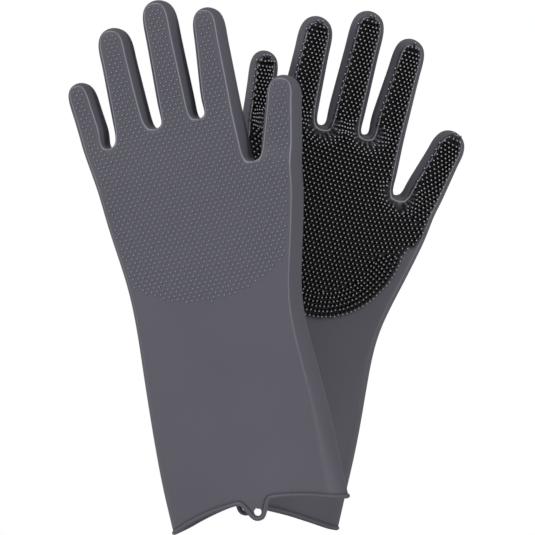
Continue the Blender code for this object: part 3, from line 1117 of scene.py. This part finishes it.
def silicone_material(group):
    material, shader, finish = moulded_material(
        "charcoal_silicone", group, SILICONE, *SILICONE_FINISH
    )
    tree = material.node_tree
    # painted shade on the skin between the bristles
    colour = mix_by_attribute(tree, finish.outputs["Color"], "field", FIELD_PAINTED_SHADE, 0.0, 1.0)
    # painted highlight: a lighter colour along the ridges
    colour = mix_by_attribute(tree, colour, "ridge", RIDGE_HIGHLIGHT, 0.4, 1.0)
    # painted shade in the crease beside the hem's bead
    colour = mix_by_attribute(tree, colour, "crease", CREASE_SHADE, 0.0, 1.0)
    # painted shade round each grip dot's foot and a painted highlight on its top
    colour = mix_by_attribute(tree, colour, "reach", CREASE_SHADE, 0.05, 0.3)
    colour = mix_by_attribute(tree, colour, "reach", DOT_TOP_HIGHLIGHT, 0.45, 0.8)
    tree.links.new(colour, shader.inputs["Base Color"])
    shader.inputs["Specular IOR Level"].default_value = SILICONE_SHINE
    return material


def bristle_material(group):
    material, shader, finish = moulded_material(
        "bristles_painted_light", group, BRISTLE_ROOT_SHADE, *BRISTLE_FINISH
    )
    tree = material.node_tree
    # painted shade near-black, lifted by painted light where a bristle is open and by a painted highlight at
    # its tip
    colour = mix_by_attribute(tree, finish.outputs["Color"], "open_to_light", OPEN_LIT_TONE, 0.0, 1.0)
    colour = mix_by_attribute(tree, colour, "reach", BRISTLE_TIP_HIGHLIGHT, 0.88, 1.0)
    tree.links.new(colour, shader.inputs["Base Color"])
    shader.inputs["Specular IOR Level"].default_value = BRISTLE_SHINE
    return material


def stage_material():
    material = bpy.data.materials.new("pale_paper")
    material.use_nodes = True
    shader = material.node_tree.nodes["Principled BSDF"]
    shader.inputs["Base Color"].default_value = (*PAPER_TONE, 1.0)
    shader.inputs["Roughness"].default_value = 0.9
    return material


# ---- Stage, light and camera ----
def build_stage():
    bpy.ops.object.select_all(action="DESELECT")
    bpy.ops.mesh.primitive_circle_add(
        vertices=96, radius=FLOOR_RADIUS, fill_type="NGON", location=FLOOR_CENTRE
    )
    floor = bpy.context.view_layer.objects.active
    floor.name = "floor"
    floor.data.materials.append(stage_material())


def add_light(name, place, aim, size, power):
    """A square soft box at a place in metres, turned to its aim."""
    lamp = bpy.data.lights.new(name, "AREA")
    lamp.shape = "RECTANGLE"
    lamp.size, lamp.size_y = size
    lamp.energy = power
    holder = new_piece(name, lamp)
    holder.location = place
    holder.rotation_euler = (Vector(aim) - Vector(place)).to_track_quat("-Z", "Y").to_euler()


def light_scene():
    for name, place, size, power in LIGHTS:
        add_light(name, place, AIM, size, power)
    world = bpy.data.worlds.new("studio")
    bpy.context.scene.world = world
    world.use_nodes = True
    tree = world.node_tree
    glow = tree.nodes["Background"]
    glow.inputs["Color"].default_value = (1.0, 1.0, 1.0, 1.0)
    glow.inputs["Strength"].default_value = WORLD_GLOW
    backdrop = tree.nodes.new("ShaderNodeBackground")
    backdrop.inputs["Color"].default_value = (1.0, 1.0, 1.0, 1.0)
    path = tree.nodes.new("ShaderNodeLightPath")
    mix = tree.nodes.new("ShaderNodeMixShader")
    link(tree, path, "Is Camera Ray", mix, 0)
    tree.links.new(glow.outputs[0], mix.inputs[1])
    tree.links.new(backdrop.outputs[0], mix.inputs[2])
    tree.links.new(mix.outputs[0], tree.nodes["World Output"].inputs["Surface"])


def aim_camera():
    lens = bpy.data.cameras.new("camera")
    lens.sensor_width = 36.0
    lens.lens = 36.0 * CAMERA_DISTANCE / VIEW_WIDTH
    lens.clip_end = 50.0
    camera = new_piece("camera", lens)
    camera.location = (CAMERA_X, -CAMERA_DISTANCE, CAMERA_Z)
    camera.rotation_euler = (math.radians(90.0), 0.0, 0.0)
    bpy.context.scene.camera = camera
    bpy.context.scene.view_settings.view_transform = "Standard"


aim_camera()
light_scene()
build_stage()
drawn = glove_pieces()
matt = moulding_group()
silicone = silicone_material(matt)
bristle = bristle_material(matt)
for side in ("right", "left"):
    dress_hand(side, drawn, silicone, bristle)
for source in drawn.values():
    bpy.data.objects.remove(source)
